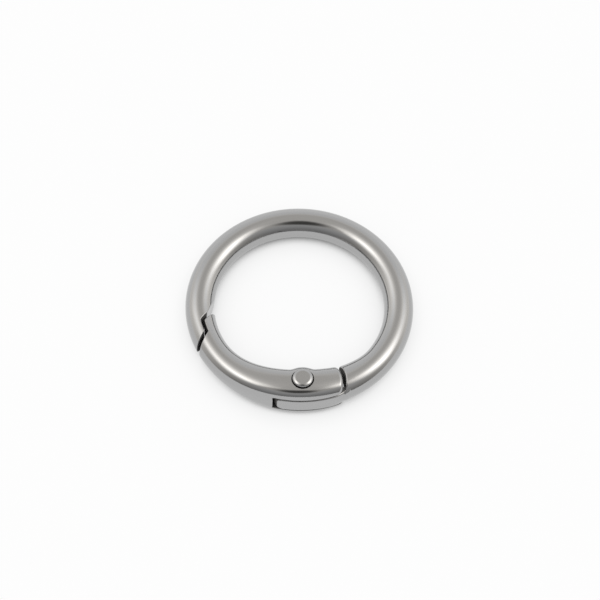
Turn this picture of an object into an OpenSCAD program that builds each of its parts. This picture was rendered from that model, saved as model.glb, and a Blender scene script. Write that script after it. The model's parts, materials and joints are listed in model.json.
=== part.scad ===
// Spring gate ring: a round ring of cast zinc that opens with a sprung gate.
// The ring lies in the XY plane with its centre at the origin. The hinge is on the -Y side, the
// hook on the -X side, and the gate closes the quarter of the ring between them.

/* [Ring] */
// Clear inside diameter of the ring
inner_d = 25; // [18:0.5:50]
// Diameter of the round section of the ring
wire_d = 4.3; // [3.6:0.1:5.5]

/* [Hinge swelling] */
// Width of the section at the hinge, measured inward from the outside of the ring
hinge_w = 5.25; // [4.9:0.05:6.5]
// Height of the section at the hinge
hinge_h = 6.1; // [5.6:0.1:8]
// Squareness of the section at the hinge, where 2 is an ellipse
squareness = 3.2; // [2.4:0.1:4]
// Arc over which the gate grows from the plain section to the hinge section
gate_blend_angle = 62; // [45:1:66]
// Arc over which the gate's short end would shrink back to the plain section
end_blend_angle = 53; // [40:1:60]
// Width of the frame's section at its shoulder, where only its inside swells
shoulder_w = 5.05; // [4.7:0.05:5.4]
// Angle past the hinge at which the frame is back to the plain section
frame_blend_angle = 52; // [40:1:70]

/* [Hinge] */
// Distance from the outside of the ring to the rivet's axis
rivet_inset = 3; // [2.6:0.05:3.2]
// Radius of the gate's round knuckle, which bulges inward about the rivet's axis
knuckle_r = 2.85; // [2.6:0.05:3.1]
// Radius of the gate's end about the rivet's axis
gate_end_r = 5.65; // [5:0.05:6.2]
// Gap between the gate's end and the frame's shoulder
shoulder_gap = 0.65; // [0.3:0.05:0.8]
// Radius of the tongue's tail about the rivet's axis
tail_r = 4.5; // [3.6:0.1:4.8]
// Bevel along the upper and lower edges of the tail
tail_bevel = 0.45; // [0.2:0.05:0.8]
// Gap between the tongue's tail and the end of the gate's slot
tail_gap = 0.45; // [0.3:0.05:0.6]
// Thickness of the frame's tongue
tongue_t = 2.5; // [2.2:0.1:3]
// Play between the tongue and each of the gate's cheeks
tongue_play = 0.1; // [0.05:0.05:0.2]
// Thickness of the gate's web, on the inside of the ring
web_t = 0.9; // [0.7:0.05:1.1]
// Gap left between the tongue and the web where one stops the other
stop_gap = 0.06; // [0.04:0.01:0.15]
// Angle that the gate opens to
open_angle = 30; // [20:1:32]

/* [Rivet] */
// Diameter of the rivet's shank
shank_d = 2; // [1.6:0.1:2.2]
// Radial play of the gate on the rivet
pivot_play = 0.05; // [0.02:0.01:0.1]
// Diameter of the rivet's head
head_d = 3; // [2.7:0.1:3.4]
// Thickness of the rivet's head
head_t = 0.9; // [0.6:0.05:1.2]
// Height of the head above the cheek's crown
head_proud = 0.4; // [0:0.05:0.5]
// Width of the shallow bevel round the top of the head
head_bevel_w = 0.42; // [0.1:0.02:0.6]
// Height of that bevel
head_bevel_h = 0.16; // [0.1:0.02:0.3]
// Diameter of the clenched end
clench_d = 2.8; // [2.5:0.1:3.2]
// Thickness of the clenched end
clench_t = 0.6; // [0.4:0.05:0.8]
// Depth of the clenched end below the lower crown
clench_sunk = 0.08; // [0:0.02:0.2]
// Play round and under the rivet's two ends in their counterbores
head_play = 0.17; // [0.1:0.01:0.25]
// Play under the rivet's two ends
seat_play = 0.05; // [0.02:0.01:0.1]

/* [Hook] */
// Place of the hook on the ring, measured from +X towards +Y
hook_angle = 195.8; // [190:0.2:200]
// Length of the overlap of the two hooks along the centre of the section
hook_len = 2; // [1.6:0.1:2.6]
// Gap between the two hooks
hook_gap = 0.45; // [0.3:0.05:0.6]

/* [Spring] */
// Outside diameter of the spring
spring_d = 1.5; // [1.2:0.1:1.6]
// Diameter of the spring's wire
spring_wire = 0.22; // [0.18:0.01:0.26]
// Turns of the spring, its closed end turns included
spring_turns = 7; // [6:1:8]
// Distance from the rivet's axis to the spring's axis, along X
spring_x = 3; // [2.7:0.1:3.2]
// Metal left between the spring's hole and the outside of the tongue
spring_floor = 0.7; // [0.5:0.05:0.9]
// Radial play of the spring in its hole
spring_play = 0.1; // [0.05:0.01:0.15]

/* [Hidden] */

wire_r = wire_d / 2;
ring_r = (inner_d + wire_d) / 2;        // radius of the centre of the section
outer_r = inner_d / 2 + wire_d;
hinge_inner_r = outer_r - hinge_w;      // inside of the ring at the hinge
web_r = hinge_inner_r + web_t;          // face of the web that the tongue stops against
hinge_y = rivet_inset - outer_r;        // the rivet's axis, at X = 0
shoulder_r = gate_end_r + shoulder_gap;
slot_h = tongue_t + 2 * tongue_play;
through = 2 * hinge_h;                  // long enough to cut right through the section
hinge_angle = 270;                      // place of the hinge, measured as the hook's is

function mix(from, to, share) = from + (to - from) * share;
function fade(share) = (1 + cos(180 * min(share, 1))) / 2;
function spread(from, to, step) =
    let (steps = ceil((to - from) / step))
    [for (i = [0 : steps]) mix(from, to, i / steps)];

// A section of the ring: the half widths outward and inward of its centre, the half height, and
// the power of its curve. Its outside stays on the ring's outer circle.
plain_section = [wire_r, wire_r, wire_r, 2];
hinge_section = [hinge_w / 2, hinge_w / 2, hinge_h / 2, squareness];
shoulder_section = [wire_r, shoulder_w - wire_r, wire_r, 2];

// The gate's section at an angle past the hinge, and the frame's. The frame's tongue has the
// gate's section, and steps to its own at the shoulder.
step_from = asin((gate_end_r - 2 * shoulder_gap) / outer_r);
step_to = asin(shoulder_r / outer_r);
function gate_section(a) =
    mix(plain_section, hinge_section, fade(abs(a) / (a < 0 ? gate_blend_angle : end_blend_angle)));
function frame_section(a) =
    a < step_from ? gate_section(a)
    : a < step_to ? mix(gate_section(step_from), shoulder_section, (a - step_from) / (step_to - step_from))
    : mix(plain_section, shoulder_section, fade((a - step_to) / (frame_blend_angle - step_to)));

// On the gate, the section's inside is pushed out to the knuckle, a circle about the rivet's axis
knuckle_half = asin(knuckle_r / -hinge_y);
function knuckle_rho(a) =
    abs(a) < knuckle_half
    ? -hinge_y * cos(a) - sqrt(pow(knuckle_r, 2) - pow(hinge_y * sin(a), 2))
    : outer_r;
function with_knuckle(a, section) =
    let (inside = max(section[1], outer_r - section[0] - knuckle_rho(a)))
    [section[0], inside, section[2], section[3]];

// A power that keeps its base's sign, for the squared-off ellipse
function signed_pow(base, power) = sign(base) * pow(abs(base), power);

// The points of a section at an angle past the hinge
section_sides = 36;
function section_points(a, section) =
    let (
        centre_r = outer_r - section[0],
        power = 2 / section[3],
        place = hinge_angle + a
    )
    [for (i = [0 : section_sides - 1])
        let (
            t = 360 * i / section_sides,
            half_w = cos(t) > 0 ? section[0] : section[1],
            rho = centre_r + half_w * signed_pow(cos(t), power),
            z = section[2] * signed_pow(sin(t), power)
        )
        [rho * cos(place), rho * sin(place), z]];

// A solid swept through closed rings of points that all have the same count
module skin(rings) {
    n = len(rings[0]);
    last = len(rings) - 1;
    points = [for (ring = rings) each ring];
    sides = [for (r = [0 : last - 1], i = [0 : n - 1])
        let (a = r * n + i, b = r * n + (i + 1) % n)
        each [[a, b, b + n], [a, b + n, a + n]]];
    caps = [[for (i = [n - 1 : -1 : 0]) i], [for (i = [0 : n - 1]) last * n + i]];
    polyhedron(points = points, faces = concat(sides, caps), convexity = 6);
}

module at_hinge(angle = 0) translate([0, hinge_y, 0]) rotate([0, 0, angle]) children();
module post(r, h = through) cylinder(r = r, h = h, center = true, $fn = 96);

// The two faces of the hook are struck from the rivet's axis, so the gate swings clear of them, and
// the step between them runs along the centre of the section.
half_hook = hook_len / 2 / ring_r * 180 / PI;   // half of that step, as an angle
function from_hinge(place) =
    norm([ring_r * cos(place), ring_r * sin(place) - hinge_y]);
hook_inner_r = from_hinge(hook_angle - half_hook);
hook_outer_r = from_hinge(hook_angle + half_hook);

// The gate's side of the hook, grown outward by gap
module hook_space(gap) {
    at_hinge() post(hook_outer_r + gap);
    intersection() {
        at_hinge() post(hook_inner_r + gap);
        post(ring_r + gap);
    }
}

// The spring stands along Y in a blind hole in the tongue, from hole_y to the web at rest
hole_y = -sqrt(pow(outer_r, 2) - pow(spring_x, 2)) + spring_floor;
web_y = -sqrt(pow(web_r, 2) - pow(spring_x - spring_d / 2, 2));
spring_end_play = 0.03;

// The tongue fills the shoulder's circle, clear of the web at rest and open. Its tail is round about
// the rivet, with bevelled edges.
module hinge_circle(r) translate([0, hinge_y]) circle(r = r, $fn = 96);
module web_circle(angle, gap)
    translate([0, hinge_y]) rotate([0, 0, -angle]) translate([0, -hinge_y])
        circle(r = web_r + gap, $fn = 96);
module tail_space() {
    at_hinge() rotate_extrude($fn = 96)
        polygon([
            [0, -tongue_t / 2],
            [tail_r - tail_bevel, -tongue_t / 2],
            [tail_r, tail_bevel - tongue_t / 2],
            [tail_r, tongue_t / 2 - tail_bevel],
            [tail_r - tail_bevel, tongue_t / 2],
            [0, tongue_t / 2]
        ]);
}
module tongue() {
    difference() {
        linear_extrude(height = tongue_t, center = true)
            difference() {
                hinge_circle(shoulder_r + shoulder_gap);
                web_circle(0, stop_gap);
                web_circle(open_angle, stop_gap);
            }
        difference() {
            translate([-2 * shoulder_r, hinge_y - 2 * shoulder_r, -through / 2])
                cube([2 * shoulder_r, 4 * shoulder_r, through]);
            tail_space();
        }
    }
}

// Space round the tongue that the gate's cheeks and web turn in
module hinge_clearance() {
    difference() {
        at_hinge() union() {
            post(shoulder_r);
            translate([-2 * shoulder_r, -2 * shoulder_r, -through / 2])
                cube([2 * shoulder_r, 3 * shoulder_r, through]);
        }
        tongue();
    }
}

// Angles between the sections of the two castings, and how far both run past the hook's middle
casting_step = 5;
fine_step = 1.5;
past_hook = 4 * half_hook;

// The frame starts inside the hinge, past its tail, and goes round over the top to the hook
frame_from = -asin((tail_r + tail_gap) / web_r);
frame_to = hook_angle + past_hook + 360 - hinge_angle;
frame_stations = concat(
    spread(frame_from, step_from, casting_step),
    spread(step_from + fine_step, step_to, fine_step),
    spread(step_to + casting_step, frame_to, casting_step));
module frame() {
    color([0.42, 0.42, 0.43])
        difference() {
            skin([for (a = frame_stations) section_points(a, frame_section(a))]);
            hinge_clearance();
            intersection() {
                hook_space(hook_gap / 2);
                translate([-2 * outer_r, -outer_r, -through])
                    cube([2 * outer_r - shoulder_r, outer_r + ring_r / 2, 2 * through]);
            }
            at_hinge() post(shank_d / 2);
            translate([spring_x, hole_y, 0]) rotate([-90, 0, 0])
                cylinder(d = spring_d + 2 * spring_play, h = hinge_w, $fn = 48);
        }
}

// The slot that the tongue lies in, open on the outside of the ring and through the gate's end
module gate_slot() {
    linear_extrude(height = slot_h, center = true)
        difference() {
            union() {
                hinge_circle(tail_r + tail_gap);
                translate([0, hinge_y - 2 * shoulder_r]) square([2 * shoulder_r, 4 * shoulder_r]);
            }
            web_circle(0, 0);
        }
}

// The gate starts past the hook and ends inside the shoulder
gate_from = hook_angle - past_hook - hinge_angle;
gate_to = asin(shoulder_r / hinge_inner_r);
gate_stations = concat(
    spread(gate_from, -knuckle_half, casting_step),
    spread(fine_step - knuckle_half, knuckle_half, fine_step),
    spread(knuckle_half + fine_step, gate_to, casting_step));
module gate() {
    color([0.45, 0.45, 0.46])
        difference() {
            intersection() {
                skin([for (a = gate_stations) section_points(a, with_knuckle(a, gate_section(a)))]);
                hook_space(-hook_gap / 2);
            }
            difference() {
                translate([0, hinge_y - 2 * shoulder_r, -through])
                    cube([4 * shoulder_r, 4 * shoulder_r, 2 * through]);
                at_hinge() post(gate_end_r, 3 * through);
            }
            gate_slot();
            at_hinge() post(shank_d / 2 + pivot_play);
            at_hinge() translate([0, 0, head_under_z - seat_play])
                cylinder(d = head_d + 2 * head_play, h = hinge_h, $fn = 72);
            at_hinge() translate([0, 0, clench_over_z + seat_play - hinge_h])
                cylinder(d = clench_d + 2 * head_play, h = hinge_h, $fn = 72);
        }
}

head_under_z = hinge_h / 2 + head_proud - head_t;
clench_over_z = clench_t + clench_sunk - hinge_h / 2;
module rivet() {
    bottom = clench_over_z - clench_t;
    top = head_under_z + head_t;
    bead = clench_t / 3;
    color([0.5, 0.5, 0.5])
        at_hinge() rotate_extrude($fn = 72)
            polygon([
                [0, bottom],
                [clench_d / 2 - bead, bottom],
                [clench_d / 2, bottom + bead],
                [clench_d / 2, clench_over_z],
                [shank_d / 2, clench_over_z],
                [shank_d / 2, head_under_z],
                [head_d / 2, head_under_z],
                [head_d / 2, top - head_bevel_h],
                [head_d / 2 - head_bevel_w, top],
                [0, top]
            ]);
}

// Height of the coil's centre after a number of turns. One turn at each end lies closed on its
// neighbour, and the turns between share the rest of the length.
spring_len = web_y - hole_y - 2 * spring_end_play;
closed_pitch = spring_wire * 1.08;
open_pitch = (spring_len - spring_wire - 2 * closed_pitch) / (spring_turns - 2);
function coil_height(turn) =
    spring_wire / 2
    + closed_pitch * min(turn, 1)
    + open_pitch * max(0, min(turn - 1, spring_turns - 2))
    + closed_pitch * max(0, turn - (spring_turns - 1));

coil_steps = 12;
coil_sides = 8;
module spring() {
    coil_r = (spring_d - spring_wire) / 2;
    rings = [for (k = [0 : coil_steps * spring_turns])
        let (turn = k / coil_steps, a = 360 * turn)
        [for (i = [0 : coil_sides - 1])
            let (
                t = 360 * i / coil_sides,
                r = coil_r + spring_wire / 2 * cos(t),
                z = coil_height(turn) + spring_wire / 2 * sin(t)
            )
            [r * cos(a), r * sin(a), z]]];
    color([0.62, 0.62, 0.63])
        translate([spring_x, hole_y + spring_end_play, 0]) rotate([-90, 0, 0]) skin(rings);
}

frame();
gate();
rivet();
spring();
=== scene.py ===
"""Spring gate ring: a cast zinc ring with a sprung gate, plated in polished gunmetal. The
sections follow the ring as it is put together: frame, spring, gate, rivet. The floor, the studio
and the camera come last. Lengths are in metres."""

import json
import math

import bmesh
import bpy
import numpy as np
from mathutils import Matrix, Vector


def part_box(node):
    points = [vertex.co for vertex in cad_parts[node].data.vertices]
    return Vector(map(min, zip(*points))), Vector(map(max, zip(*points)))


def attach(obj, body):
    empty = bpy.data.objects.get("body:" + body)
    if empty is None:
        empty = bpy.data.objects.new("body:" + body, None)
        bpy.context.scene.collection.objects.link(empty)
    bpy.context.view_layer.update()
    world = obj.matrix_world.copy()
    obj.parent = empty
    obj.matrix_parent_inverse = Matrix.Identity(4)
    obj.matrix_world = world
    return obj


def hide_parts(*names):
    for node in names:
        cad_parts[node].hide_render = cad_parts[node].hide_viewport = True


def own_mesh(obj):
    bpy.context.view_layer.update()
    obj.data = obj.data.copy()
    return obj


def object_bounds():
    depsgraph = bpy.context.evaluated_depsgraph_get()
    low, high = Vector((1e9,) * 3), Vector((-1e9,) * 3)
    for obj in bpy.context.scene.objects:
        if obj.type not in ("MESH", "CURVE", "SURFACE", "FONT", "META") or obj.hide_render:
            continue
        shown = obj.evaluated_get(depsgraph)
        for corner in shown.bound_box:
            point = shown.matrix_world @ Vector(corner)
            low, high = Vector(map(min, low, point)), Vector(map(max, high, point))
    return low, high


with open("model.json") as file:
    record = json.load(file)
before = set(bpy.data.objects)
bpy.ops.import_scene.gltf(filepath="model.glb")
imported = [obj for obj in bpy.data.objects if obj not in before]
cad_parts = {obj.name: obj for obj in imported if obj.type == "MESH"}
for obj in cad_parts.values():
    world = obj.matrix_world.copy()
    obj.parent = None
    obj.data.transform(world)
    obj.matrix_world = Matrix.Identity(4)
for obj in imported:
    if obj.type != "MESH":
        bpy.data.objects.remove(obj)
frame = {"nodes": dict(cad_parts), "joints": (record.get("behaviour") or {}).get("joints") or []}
cad_low, cad_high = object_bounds()

# ---------------------------------------------------------------- frame
# The frame is three quarters of the ring, from its hook round to the shoulder and the tongue that
# the gate turns on. It is die cast in zinc as one piece, then tumbled until every edge is rounded,
# polished and plated.
MM = 0.001
hinge = frame["joints"][0]
hinge_y = hinge["pos_m"][1]
open_angle = math.radians(hinge["range_deg"][1])

outer_r = cad_high.x
wire_d = 4.3 * MM
ring_r = outer_r - wire_d / 2
hinge_w = 5.25 * MM
hinge_h = 6.1 * MM
squareness = 3.2
shoulder_w = 5.05 * MM
gate_blend = math.radians(62)
end_blend = math.radians(53)
frame_blend = math.radians(52)
gate_end_r = 5.65 * MM
shoulder_gap = 0.65 * MM
shoulder_r = gate_end_r + shoulder_gap
shoulder_round = 0.25 * MM
tail_r = 4.5 * MM
tail_round = 0.7 * MM
tongue_t = 2.5 * MM
web_t = 0.9 * MM
web_r = outer_r - hinge_w + web_t
stop_gap = 0.06 * MM
hook_angle = math.radians(195.8)
hook_len = 2 * MM
half_hook = hook_len / 2 / ring_r
hook_gap = 0.53 * MM
shank_r = 1.0 * MM
spring_x = 3.0 * MM
spring_hole_r = 0.85 * MM
spring_floor = 0.7 * MM
cast_edge = 0.16 * MM
hook_edge = 0.1 * MM
cast_corner = 0.2 * MM

# The cut that frees the gate's way in starts here on the frame's hook and runs straight this way.
hook_cut_from = (-13.54 * MM, -1.63 * MM)
hook_cut_way = (0.363, 0.932)

# A section of the ring: half widths outward and inward of its centre, half height, and the power
# of its curve.
plain_section = np.array([[wire_d / 2], [wire_d / 2], [wire_d / 2], [2]])
hinge_section = np.array([[hinge_w / 2], [hinge_w / 2], [hinge_h / 2], [squareness]])
shoulder_section = np.array([[wire_d / 2], [shoulder_w - wire_d / 2], [wire_d / 2], [2]])


def mix(first, second, share):
    return first + (second - first) * share


def fade(share):
    """1 at the hinge, falling smoothly to 0 where the share of the blend's arc is 1."""
    return 0.5 + 0.5 * np.cos(np.pi * np.clip(share, 0, 1))


def gate_section(turn):
    """The gate's section at an angle past the hinge."""
    share = fade(np.abs(turn) / np.where(turn < 0, gate_blend, end_blend))
    return mix(plain_section, hinge_section, share)


step_from = math.asin((gate_end_r - 2 * shoulder_gap) / outer_r)
step_to = math.asin(shoulder_r / outer_r)


def frame_section(turn):
    """The frame's section: the gate's on the tongue, then its own past the shoulder."""
    beyond = mix(plain_section, shoulder_section, fade((turn - step_to) / (frame_blend - step_to)))
    return mix(beyond, gate_section(turn), fade((turn - step_from) / (step_to - step_from)))


def bar(points, section_of, least_turn):
    """Distance to the skin of the ring's bar, negative inside it. The section's outside keeps to
    the ring's outer circle. Angles past the hinge are counted from least_turn on."""
    rho = np.hypot(points[:, 0], points[:, 1])
    turn = np.arctan2(points[:, 1], points[:, 0]) + np.pi / 2
    turn = np.mod(turn - least_turn, 2 * np.pi) + least_turn
    outside, inside, half_h, power = section_of(turn)
    across = rho - outer_r + outside
    half_w = np.where(across > 0, outside, inside)
    across = np.abs(across) / half_w
    upward = np.abs(points[:, 2]) / half_h
    size = np.maximum((across**power + upward**power) ** (1 / power), 1e-6)
    across = (across / size) ** (power - 1) / half_w
    upward = (upward / size) ** (power - 1) / half_h
    return (size - 1) / np.hypot(across, upward)


def post(points, radius, centre=(0, hinge_y)):
    """Distance to an upright cylinder, about the rivet's axis unless another centre is given."""
    return np.hypot(points[:, 0] - centre[0], points[:, 1] - centre[1]) - radius


def both(first, second, radius):
    """What lies inside both bodies, with the edge between them rounded to a radius."""
    reach = np.hypot(np.maximum(first + radius, 0), np.maximum(second + radius, 0))
    return np.minimum(-radius, np.maximum(first, second)) + reach


def either(first, second, radius):
    """What lies inside either body, with a fillet of that radius between them."""
    return -both(-first, -second, radius)


def from_hinge(place):
    """Distance from the rivet's axis to a place on the ring's centre line."""
    return math.hypot(ring_r * math.cos(place), ring_r * math.sin(place) - hinge_y)


def hook_space(points, gap):
    """The gate's side of the hook: two arcs about the rivet, joined along the ring's centre."""
    outer = post(points, from_hinge(hook_angle + half_hook) + gap)
    inner = post(points, from_hinge(hook_angle - half_hook) + gap)
    inside = post(points, ring_r + gap, (0, 0))
    return either(outer, both(inner, inside, hook_edge), hook_edge)


def at_hook(points):
    """Which points are at the ring's left end, where the hook is."""
    return (points[:, 0] < -shoulder_r) & (points[:, 1] < ring_r / 2)


def frame_skin(points):
    """The frame's bar, with the inner corner of its hook cut back to let the gate swing in."""
    skin = bar(points, frame_section, -np.pi / 3)
    beyond = (points[:, 0] - hook_cut_from[0]) * hook_cut_way[1]
    beyond = beyond - (points[:, 1] - hook_cut_from[1]) * hook_cut_way[0]
    cut = np.minimum(beyond, -post(points, ring_r, (0, 0)))
    return both(skin, np.where(at_hook(points), cut, -outer_r), hook_edge)


def tongue(points):
    """The flat tongue that the gate turns on, with its tail rounded about the rivet. It is cut
    clear of the web both where the gate is shut and where it is open."""
    swung = (-hinge_y * math.sin(open_angle), hinge_y - hinge_y * math.cos(open_angle))
    plate = np.abs(points[:, 2]) - tongue_t / 2
    tail = np.where(points[:, 0] < 0, post(points, tail_r), -outer_r)
    body = both(plate, tail, tail_round)
    body = both(body, -post(points, web_r + stop_gap, (0, 0)), cast_edge)
    body = both(body, -post(points, web_r + stop_gap, swung), cast_edge)
    return np.maximum(body, post(points, shoulder_r + shoulder_gap))


def frame_casting(points):
    """The frame: its bar and tongue, cut by the hinge, the hook, the rivet and the spring hole."""
    skin = frame_skin(points)
    left_of_hinge = np.maximum(points[:, 0], points[:, 1] - hinge_y - shoulder_r)
    hinge_space = np.minimum(post(points, shoulder_r), left_of_hinge)
    body = both(skin, -hinge_space, shoulder_round)
    body = either(body, both(skin, tongue(points), cast_edge), cast_corner)
    hook = np.where(at_hook(points), -hook_space(points, hook_gap / 2), -outer_r)
    body = both(body, hook, hook_edge)
    body = np.maximum(body, -post(points, shank_r))
    hole_y = -math.sqrt(outer_r**2 - spring_x**2) + spring_floor
    hole = np.hypot(points[:, 0] - spring_x, points[:, 2]) - spring_hole_r
    ends = np.maximum(hole_y - points[:, 1], points[:, 1] - hole_y - hinge_w)
    return both(body, -np.maximum(hole, ends), cast_edge / 2)


grain = 0.13 * MM
smoothings = 6
smoothing_share = 0.5
draws = 2
probe = 0.002 * MM
least_slope = 0.05


def slope_of(body, points):
    """The way in which a body's distance grows, which is out of its skin, and how fast it does,
    squared."""
    slope = np.empty_like(points)
    for axis in range(3):
        offset = np.zeros(3)
        offset[axis] = probe
        slope[:, axis] = (body(points + offset) - body(points - offset)) / (2 * probe)
    return slope, np.maximum((slope**2).sum(1, keepdims=True), least_slope)


def casting(name, node, body, skin):
    """A fine mesh over a CAD node, whose points are spread evenly and drawn onto the body's true
    skin. Each point keeps how deep below the bar's own skin it lies, for painted shade in gaps."""
    # The remesh is done at a scale of millimetres, where its grid can be this fine.
    piece = bpy.data.objects.new(name, frame["nodes"][node].data.copy())
    bpy.context.scene.collection.objects.link(piece)
    piece.data.materials.clear()
    piece.data.transform(Matrix.Scale(1 / MM, 4))
    remesh = piece.modifiers.new("fine skin", "REMESH")
    remesh.mode = "VOXEL"
    remesh.voxel_size = grain / MM
    evaluated = piece.evaluated_get(bpy.context.evaluated_depsgraph_get())
    fine = bpy.data.meshes.new_from_object(evaluated)
    piece.modifiers.clear()
    piece.data = fine
    fine.transform(Matrix.Scale(MM, 4))

    points = np.empty(len(fine.vertices) * 3)
    fine.vertices.foreach_get("co", points)
    points = points.reshape(-1, 3)
    edges = np.empty(len(fine.edges) * 2, int)
    fine.edges.foreach_get("vertices", edges)
    one, other = edges.reshape(-1, 2).T
    count = np.bincount(edges, minlength=len(points))[:, None]

    # Each point moves along the skin towards its neighbours' middle, then straight onto the skin.
    for _ in range(smoothings):
        around = np.zeros_like(points)
        for axis in range(3):
            around[:, axis] = np.bincount(one, points[other, axis], len(points))
            around[:, axis] += np.bincount(other, points[one, axis], len(points))
        drift = around / count - points
        slope, steep = slope_of(body, points)
        drift -= slope * (drift * slope).sum(1, keepdims=True) / steep
        points += smoothing_share * drift
        for _ in range(draws):
            slope, steep = slope_of(body, points)
            move = slope * (body(points)[:, None] / steep)
            length = np.maximum(np.linalg.norm(move, axis=1, keepdims=True), 1e-12)
            points -= move * np.minimum(1, grain / length)

    fine.vertices.foreach_set("co", points.ravel())
    fine.update()
    fine.shade_smooth()
    normals, _ = slope_of(body, points)
    normals /= np.linalg.norm(normals, axis=1, keepdims=True)
    fine.normals_split_custom_set_from_vertices(normals)
    # The depth darkens faces in gaps and recesses: painted shade.
    depth = fine.attributes.new("depth", "FLOAT", "POINT")
    depth.data.foreach_set("value", -skin(points) / MM)
    return piece


gunmetal = 0.407
casting_blur = 0.13
haze_share = 0.15
haze_scale = 0.35 / MM
wave_scale = 0.6 / MM
wave_height = 0.005 * MM
# Painted shade for faces deep in gaps and recesses: its dark grey, its matt blur, and the depths
# in millimetres over which it is painted in.
painted_shade_grey = 0.14
painted_shade_blur = 0.6
painted_shade_from = 0.06
painted_shade_to = 0.2


def plated(name, grey, blur, paints_shade_in_gaps=False):
    """Polished plating: a mirror that the metal under it waves and clouds a little. On a casting,
    faces that lie deep below the bar's skin, in gaps and recesses, are painted dark, matt and not
    metallic: painted shade. Depths are in millimetres."""
    material = bpy.data.materials.new(name)
    material.use_nodes = True
    nodes = material.node_tree.nodes
    link = material.node_tree.links.new
    shader = nodes["Principled BSDF"]
    place = nodes.new("ShaderNodeTexCoord").outputs["Object"]
    cloud = nodes.new("ShaderNodeTexNoise")
    cloud.inputs["Scale"].default_value = haze_scale
    cloud.inputs["Detail"].default_value = 3
    link(place, cloud.inputs["Vector"])
    haze = nodes.new("ShaderNodeMapRange")
    haze.inputs["To Min"].default_value = blur * (1 - haze_share)
    haze.inputs["To Max"].default_value = blur * (1 + haze_share)
    link(cloud.outputs["Fac"], haze.inputs["Value"])
    wave = nodes.new("ShaderNodeTexNoise")
    wave.inputs["Scale"].default_value = wave_scale
    wave.inputs["Detail"].default_value = 2
    link(place, wave.inputs["Vector"])
    bump = nodes.new("ShaderNodeBump")
    bump.inputs["Strength"].default_value = 1
    bump.inputs["Distance"].default_value = wave_height
    link(wave.outputs["Fac"], bump.inputs["Height"])
    link(bump.outputs["Normal"], shader.inputs["Normal"])
    if not paints_shade_in_gaps:
        shader.inputs["Base Color"].default_value = (grey, grey, grey, 1)
        shader.inputs["Metallic"].default_value = 1
        link(haze.outputs["Result"], shader.inputs["Roughness"])
        return material

    # Painted shade: the deeper a face lies below the bar's skin, in gaps and recesses, the darker,
    # matter and less metallic it is painted.
    deep = nodes.new("ShaderNodeAttribute")
    deep.attribute_name = "depth"
    shade_amount = nodes.new("ShaderNodeMapRange")
    shade_amount.interpolation_type = "SMOOTHSTEP"
    shade_amount.inputs["From Min"].default_value = painted_shade_from
    shade_amount.inputs["From Max"].default_value = painted_shade_to
    link(deep.outputs["Fac"], shade_amount.inputs["Value"])
    colour = nodes.new("ShaderNodeMix")
    colour.data_type = "RGBA"
    colour.inputs["A"].default_value = (grey, grey, grey, 1)
    colour.inputs["B"].default_value = (painted_shade_grey, painted_shade_grey, painted_shade_grey, 1)
    metal = nodes.new("ShaderNodeMath")
    metal.operation = "SUBTRACT"
    metal.inputs[0].default_value = 1
    rough = nodes.new("ShaderNodeMix")
    rough.inputs["B"].default_value = painted_shade_blur
    link(haze.outputs["Result"], rough.inputs["A"])
    link(shade_amount.outputs["Result"], colour.inputs["Factor"])
    link(shade_amount.outputs["Result"], metal.inputs[1])
    link(shade_amount.outputs["Result"], rough.inputs["Factor"])
    link(colour.outputs["Result"], shader.inputs["Base Color"])
    link(metal.outputs["Value"], shader.inputs["Metallic"])
    link(rough.outputs["Result"], shader.inputs["Roughness"])
    shader.inputs["Specular IOR Level"].default_value = 0
    return material


# The castings get painted shade in their gaps and recesses.
plated_zinc = plated("plated_zinc", gunmetal, casting_blur, paints_shade_in_gaps=True)
frame_piece = casting("frame_casting", "frame", frame_casting, frame_skin)
frame_piece.data.materials.append(plated_zinc)
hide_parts("frame")
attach(frame_piece, "ring_frame")

# ---------------------------------------------------------------- spring
# A compression spring of bright steel wire, closed at both ends, dropped into a blind hole in
# the tongue. It presses on the gate's web and keeps the ring shut.
spring_wire = 0.22 * MM
spring_turns = 7
closed_pitch = 1.08 * spring_wire
spring_grey = 0.58
spring_blur = 0.25
spring_low, spring_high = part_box("spring")
coil_r = (spring_high.x - spring_low.x - spring_wire) / 2
coil_centre = (spring_low + spring_high) / 2


def coil_rise(turn, length):
    """Height of the wire's centre after a number of turns, with one closed turn at each end."""
    open_pitch = (length - spring_wire - 2 * closed_pitch) / (spring_turns - 2)
    open_turns = min(max(turn - 1, 0), spring_turns - 2)
    closed_turns = min(turn, 1) + max(turn - spring_turns + 1, 0)
    return closed_pitch * closed_turns + open_pitch * open_turns


def coil():
    """The wire, wound about the spring's axis as a closed tube."""
    steps, sides = 48, 16
    length = spring_high.y - spring_low.y
    made = bmesh.new()
    rings = []
    for k in range(steps * spring_turns + 1):
        turn = k / steps
        around = 2 * math.pi * turn
        out = Vector((math.cos(around), 0, -math.sin(around)))
        up = Vector((0, 1, 0))
        centre = Vector((coil_centre.x, spring_low.y + spring_wire / 2, coil_centre.z))
        centre += out * coil_r + up * coil_rise(turn, length)
        ring = []
        for i in range(sides):
            t = 2 * math.pi * i / sides
            offset = spring_wire / 2 * (out * math.cos(t) + up * math.sin(t))
            ring.append(made.verts.new(centre + offset))
        rings.append(ring)
    for a, b in zip(rings, rings[1:]):
        for i in range(sides):
            j = (i + 1) % sides
            made.faces.new((a[i], a[j], b[j], b[i]))
    made.faces.new(rings[0])
    made.faces.new(list(reversed(rings[-1])))
    bmesh.ops.recalc_face_normals(made, faces=made.faces)
    mesh = bpy.data.meshes.new("spring_coil")
    made.to_mesh(mesh)
    made.free()
    mesh.shade_smooth()
    return mesh


spring_piece = bpy.data.objects.new("spring_coil", coil())
bpy.context.scene.collection.objects.link(spring_piece)
spring_piece.data.materials.append(plated("spring_wire", spring_grey, spring_blur))
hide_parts("spring")
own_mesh(spring_piece)
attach(spring_piece, "ring_frame")

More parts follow.
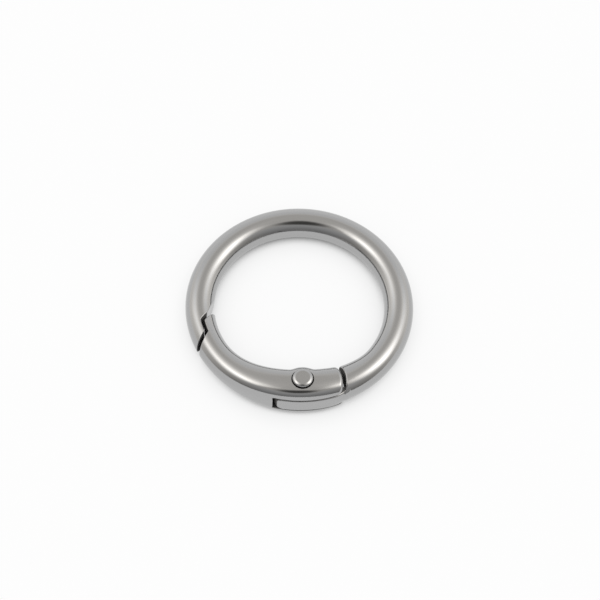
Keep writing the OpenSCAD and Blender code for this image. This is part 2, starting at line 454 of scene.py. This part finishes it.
# ---------------------------------------------------------------- gate
# The gate closes the last quarter of the ring. It is cast as a channel, two cheeks and a web,
# that fits round the tongue, and is finished as the frame is.
rivet_low, rivet_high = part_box("rivet")
head_r = 1.5 * MM
clench_r = 1.4 * MM
head_t = 0.9 * MM
clench_t = 0.6 * MM
head_under = rivet_high.z - head_t
clench_over = rivet_low.z + clench_t
head_play = 0.11 * MM
seat_play = 0.05 * MM
pivot_play = 0.05 * MM
tongue_play = 0.16 * MM
tail_gap = 0.45 * MM
knuckle_r = 2.75 * MM
knuckle_fillet = 0.3 * MM
gate_end_shift = 0.5 * MM
gate_end_swell = 0.2 * MM
gate_end_round = 0.45 * MM
rim_edge = 0.05 * MM


def knuckled_section(turn):
    """The gate's section with its inside swelled to a round knuckle about the rivet's axis."""
    outside, inside, half_h, power = gate_section(turn)
    rise_2 = knuckle_r**2 - (hinge_y * np.sin(turn)) ** 2
    knuckle = outer_r - outside + hinge_y * np.cos(turn) + np.sqrt(np.maximum(rise_2, 0))
    knuckle = np.where((rise_2 > 0) & (np.abs(turn) < np.pi / 4), knuckle, 0)
    overlap = np.maximum(1 - np.abs(knuckle - inside) / knuckle_fillet, 0)
    inside = np.maximum(inside, knuckle) + knuckle_fillet * overlap**2 / 4
    return outside, inside, half_h, power


def gate_end(points):
    """The gate's end past the hinge, curved about a point a little outside the rivet's axis."""
    end = post(points, gate_end_r + gate_end_swell, (0, hinge_y - gate_end_shift))
    return np.where(points[:, 0] > 0, end, -outer_r)


def gate_skin(points):
    """The gate's bar, rounded over at its end a little beyond where the gate stops."""
    skin = bar(points, knuckled_section, -np.pi)
    return both(skin, gate_end(points) - gate_end_round / 3, gate_end_round)


def gate_casting(points):
    """The gate: its bar, cut by the hook, the tongue's slot and the rivet with its two ends."""
    skin = bar(points, knuckled_section, -np.pi)
    body = both(skin, hook_space(points, -hook_gap / 2), hook_edge)
    body = both(body, gate_end(points), gate_end_round)
    height = np.abs(points[:, 2]) - tongue_t / 2 - tongue_play
    length = np.minimum(post(points, tail_r + tail_gap), -points[:, 0])
    slot = both(both(height, length, cast_corner), -post(points, web_r, (0, 0)), cast_corner)
    body = both(body, -slot, cast_edge)
    above_seat = points[:, 2] - (head_under - seat_play)
    body = both(body, -both(post(points, head_r + head_play), -above_seat, rim_edge), rim_edge)
    above_seat = points[:, 2] - (clench_over + seat_play)
    body = both(body, -both(post(points, clench_r + head_play), above_seat, rim_edge), rim_edge)
    return both(body, -post(points, shank_r + pivot_play), rim_edge)


gate_piece = casting("gate_casting", "gate", gate_casting, gate_skin)
gate_piece.data.materials.append(plated_zinc)
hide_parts("gate")
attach(gate_piece, "gate")

# ---------------------------------------------------------------- rivet
# A turned steel rivet, plated like the castings. It is pressed through the tongue, with a flat
# bevelled head above and its other end clenched below.
head_flat_r = 1.08 * MM
head_bevel_drop = 0.136 * MM
head_side_drop = 0.272 * MM
head_worn = 0.1 * MM
clench_bead = 0.2 * MM
rivet_round = 0.09 * MM
rivet_blur = 0.16


def turned(name, profile, segments=96):
    """A piece turned about the rivet's axis, from (radius, height) points."""
    made = bmesh.new()
    rings = []
    for r, z in profile:
        if r < 1e-9:
            rings.append([made.verts.new((0, hinge_y, z))] * segments)
            continue
        ring = []
        for i in range(segments):
            turn = 2 * math.pi * i / segments
            place = (r * math.cos(turn), hinge_y + r * math.sin(turn), z)
            ring.append(made.verts.new(place))
        rings.append(ring)
    for a, b in zip(rings, rings[1:]):
        for i in range(segments):
            j = (i + 1) % segments
            corners = [a[i], a[j], b[j], b[i]]
            made.faces.new(dict.fromkeys(corners))
    bmesh.ops.recalc_face_normals(made, faces=made.faces)
    mesh = bpy.data.meshes.new(name)
    made.to_mesh(mesh)
    made.free()
    mesh.shade_smooth()
    return bpy.data.objects.new(name, mesh)


def rounded(corners, radius, steps=6):
    """A profile with all but its first and last corner rounded to a radius, or to less where the
    corners lie close together."""
    out = [corners[0]]
    for before, at, after in zip(corners, corners[1:], corners[2:]):
        at = Vector(at)
        back = Vector(before) - at
        on = Vector(after) - at
        reach = min(radius, back.length / 2.2, on.length / 2.2)
        start = at + back.normalized() * reach
        end = at + on.normalized() * reach
        for k in range(steps + 1):
            t = k / steps
            out.append(tuple(start * (1 - t) ** 2 + at * 2 * t * (1 - t) + end * t**2))
    return out + [corners[-1]]


rivet_profile = rounded(
    [
        (0, rivet_low.z),
        (clench_r - clench_bead, rivet_low.z),
        (clench_r, rivet_low.z + clench_bead),
        (clench_r, clench_over),
        (shank_r, clench_over),
        (shank_r, head_under),
        (head_r, head_under),
        (head_r, rivet_high.z - head_side_drop),
        (head_r - head_worn, rivet_high.z - head_bevel_drop),
        (head_flat_r, rivet_high.z),
        (0, rivet_high.z),
    ],
    rivet_round,
)
rivet_piece = turned("rivet_turned", rivet_profile)
bpy.context.scene.collection.objects.link(rivet_piece)
rivet_piece.data.materials.append(plated("plated_rivet", gunmetal, rivet_blur))
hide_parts("rivet")
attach(rivet_piece, "ring_frame")

# ---------------------------------------------------------------- floor
# The ring lies on a white board. It touches it below the hinge and across from it, so in the
# ring's own frame the board leans a little.
hinge_low = -3.05 * MM
hinge_low_y = -14.2 * MM
floor_lean = 0.031
floor_reach = 1.5
floor_grey = 0.85
shade_reach = 0.2
shade_samples = 24
open_floor = 0.985
floor_tones = (
    # how open a place on the board is, and how bright that makes it
    (0.2, 0.2),
    (0.27, 0.385),
    (0.39, 0.66),
    (0.49, 0.84),
    (0.56, 0.88),
    (0.66, 0.92),
    (0.8, 0.965),
)


def floor_sheet():
    """A square sheet that passes under the ring's low place at the hinge and leans from there."""
    corners = []
    for x, y in ((-1, -1), (1, -1), (1, 1), (-1, 1)):
        y = y * floor_reach
        corners.append((x * floor_reach, y, hinge_low + floor_lean * (y - hinge_low_y)))
    made = bpy.data.meshes.new("floor")
    made.from_pydata(corners, [], [(0, 1, 2, 3)])
    sheet = bpy.data.objects.new("floor", made)
    bpy.context.scene.collection.objects.link(sheet)
    return sheet


def floor_white():
    """White board. To the camera and in the plating it is as bright as the open space above it
    makes it, so its shadow lies where the ring is close to it."""
    material = bpy.data.materials.new("floor_white")
    material.use_nodes = True
    nodes = material.node_tree.nodes
    link = material.node_tree.links.new
    nodes.clear()
    out = nodes.new("ShaderNodeOutputMaterial")
    matt = nodes.new("ShaderNodeBsdfDiffuse")
    matt.inputs["Color"].default_value = (floor_grey, floor_grey, floor_grey, 1)
    openness = nodes.new("ShaderNodeAmbientOcclusion")
    openness.samples = shade_samples
    openness.inputs["Distance"].default_value = shade_reach
    shade = nodes.new("ShaderNodeValToRGB")
    ramp = shade.color_ramp
    for place, bright in floor_tones:
        ramp.elements.new(place).color = (bright, bright, bright, 1)
    ramp.elements[0].color = (0, 0, 0, 1)
    ramp.elements[-1].color = (open_floor, open_floor, open_floor, 1)
    link(openness.outputs["AO"], shade.inputs["Fac"])
    glow = nodes.new("ShaderNodeEmission")
    link(shade.outputs["Color"], glow.inputs["Color"])
    path = nodes.new("ShaderNodeLightPath")
    seen = nodes.new("ShaderNodeMath")
    seen.operation = "MAXIMUM"
    link(path.outputs["Is Camera Ray"], seen.inputs[0])
    link(path.outputs["Is Glossy Ray"], seen.inputs[1])
    board = nodes.new("ShaderNodeMixShader")
    link(seen.outputs["Value"], board.inputs["Fac"])
    link(matt.outputs["BSDF"], board.inputs[1])
    link(glow.outputs["Emission"], board.inputs[2])
    link(board.outputs["Shader"], out.inputs["Surface"])
    return material


floor = floor_sheet()
floor.data.materials.append(floor_white())

# ---------------------------------------------------------------- studio
# A tent of white cloth, lit from outside. Its warm ceiling is dimmer than its walls, the side
# that the camera looks in from is open and darker, and softboxes light it from either side, up
# to the tent's front edge.
away = math.radians(3.6)
wall_light_low = 1.07
wall_light_top = 0.87
opening_light_low = 0.25
opening_light_top = 0.6
ceiling_light = 0.716
lens_elevation = 58.8
lens_edges = (math.cos(math.radians(21)), math.cos(math.radians(7)))
lens_light = 0.13
plain_light = (1, 1, 1, 1)
warm_light = (1.035, 1.003, 0.958, 1)
backdrop_white = 0.965
softboxes = (
    # azimuth, elevation, half width, half height, soft edge across, soft edge up, strength
    (-100, 55, 0.21, 0.05, 0.25, 0.5, 4.1),
    (93, 48, 0.13, 0.28, 0.33, 0.28, 3.4),
    (-63, 47, 0.16, 0.34, 0.39, 0.39, 1.1),
    (63, 47, 0.16, 0.34, 0.39, 0.39, 1.1),
)

world = bpy.data.worlds.new("studio")
bpy.context.scene.world = world
world.use_nodes = True
world_nodes = world.node_tree.nodes
world_link = world.node_tree.links.new
direction = world_nodes.new("ShaderNodeTexCoord").outputs["Generated"]


def toward(azimuth, elevation):
    """The way to a place in the studio. Azimuth counts clockwise from straight behind the ring."""
    a = math.radians(azimuth) + away
    e = math.radians(elevation)
    return Vector((math.sin(a) * math.cos(e), math.cos(a) * math.cos(e), math.sin(e)))


def reckon(operation, *values):
    """One step of arithmetic between the studio's nodes."""
    node = world_nodes.new("ShaderNodeMath")
    node.operation = operation
    for socket, value in zip(node.inputs, values):
        if isinstance(value, (int, float)):
            socket.default_value = value
        else:
            world_link(value, socket)
    return node.outputs["Value"]


def along(way):
    """How far the light's direction goes along a way."""
    node = world_nodes.new("ShaderNodeVectorMath")
    node.operation = "DOT_PRODUCT"
    node.inputs[1].default_value = way
    world_link(direction, node.inputs[0])
    return node.outputs["Value"]


def rise(value, low, high, first=0, last=1, smooth=True):
    """First below low, last above high, and a smooth or straight rise between them."""
    node = world_nodes.new("ShaderNodeMapRange")
    node.interpolation_type = "SMOOTHSTEP" if smooth else "LINEAR"
    for name, number in (("From Min", low), ("From Max", high)):
        node.inputs[name].default_value = number
    for name, number in (("To Min", first), ("To Max", last)):
        if isinstance(number, (int, float)):
            node.inputs[name].default_value = number
        else:
            world_link(number, node.inputs[name])
    world_link(value, node.inputs["Value"])
    return node.outputs["Result"]


def softbox(azimuth, elevation, half_w, half_h, edge_w, edge_h):
    """1 inside a rectangular softbox that faces the ring, and 0 outside its soft edges."""
    facing = toward(azimuth, elevation)
    across = toward(azimuth + 90, 0)
    reach = reckon("MAXIMUM", along(facing), 0.01)
    inside = 1
    for way, half, edge in ((across, half_w, edge_w), (across.cross(facing), half_h, edge_h)):
        off = reckon("ABSOLUTE", reckon("DIVIDE", along(way), reach))
        inside = reckon("MULTIPLY", inside, rise(off, half - edge, half + edge, 1, 0))
    return inside


# The light depends on how far up, back and to either side its direction goes, each at most 1.
height = along((0, 0, 1))
backward = along(toward(0, 0))
sideways = reckon("ABSOLUTE", along(toward(90, 0)))
walls = rise(height, 0, 0.72, wall_light_low, wall_light_top, smooth=False)
tent = rise(height, 0.72, 0.84, walls, ceiling_light)
opening = rise(height, 0, 0.8, opening_light_low, opening_light_top, smooth=False)
opening = rise(height, 0.84, 0.97, opening, ceiling_light)
within = rise(reckon("MULTIPLY_ADD", sideways, 0.15, backward), -0.6, 0.6)
light = rise(within, 0, 1, opening, tent, smooth=False)
front_edge = rise(reckon("MULTIPLY_ADD", sideways, 0.88, backward), -0.03, 0.03)
for azimuth, elevation, half_w, half_h, edge_w, edge_h, strength in softboxes:
    box = softbox(azimuth, elevation, half_w, half_h, edge_w, edge_h)
    light = reckon("MULTIPLY_ADD", reckon("MULTIPLY", box, front_edge), strength, light)

# The lens looks in through the open side as a dark round spot.
lens = rise(along(toward(180, lens_elevation)), *lens_edges, 1, lens_light)
light = reckon("MULTIPLY", light, lens)
warmth = reckon("MAXIMUM", rise(height, 0.6, 0.82), rise(sideways, 0.5, 0.85))
tint = world_nodes.new("ShaderNodeMix")
tint.data_type = "RGBA"
tint.inputs["A"].default_value = plain_light
tint.inputs["B"].default_value = warm_light
world_link(warmth, tint.inputs["Factor"])
seen = world_nodes.new("ShaderNodeLightPath").outputs["Is Camera Ray"]
background = world_nodes["Background"]
world_link(tint.outputs["Result"], background.inputs["Color"])
world_link(rise(seen, 0, 1, light, backdrop_white), background.inputs["Strength"])

# ---------------------------------------------------------------- camera
# The camera stands well back with a long lens, and looks down on the ring from above the hinge.
# It is turned a little about its line of sight, and shifted to frame the ring.
camera_elevation = math.radians(59.22)
camera_roll = math.radians(2.07)
camera_distance = 0.586
camera_sensor = 36
camera_lens = 238.6
picture_size = 600
picture_shift = (0.66, 7.23)
back = Vector(
    (
        -math.cos(camera_elevation) * math.sin(away),
        -math.cos(camera_elevation) * math.cos(away),
        math.sin(camera_elevation),
    )
)
right = Vector((math.cos(away), -math.sin(away), 0))
up = back.cross(right)
turned_right = right * math.cos(camera_roll) + up * math.sin(camera_roll)
turned_up = up * math.cos(camera_roll) - right * math.sin(camera_roll)
camera_data = bpy.data.cameras.new("camera")
camera_data.sensor_width = camera_sensor
camera_data.lens = camera_lens
camera_data.shift_x = picture_shift[0] / picture_size
camera_data.shift_y = picture_shift[1] / picture_size
camera_data.clip_start = 0.01
camera_data.clip_end = 10
camera = bpy.data.objects.new("camera", camera_data)
camera.matrix_world = Matrix(
    [[turned_right[i], turned_up[i], back[i], back[i] * camera_distance] for i in range(3)]
    + [[0, 0, 0, 1]]
)
bpy.context.scene.collection.objects.link(camera)
bpy.context.scene.camera = camera
bpy.context.scene.view_settings.view_transform = "Standard"
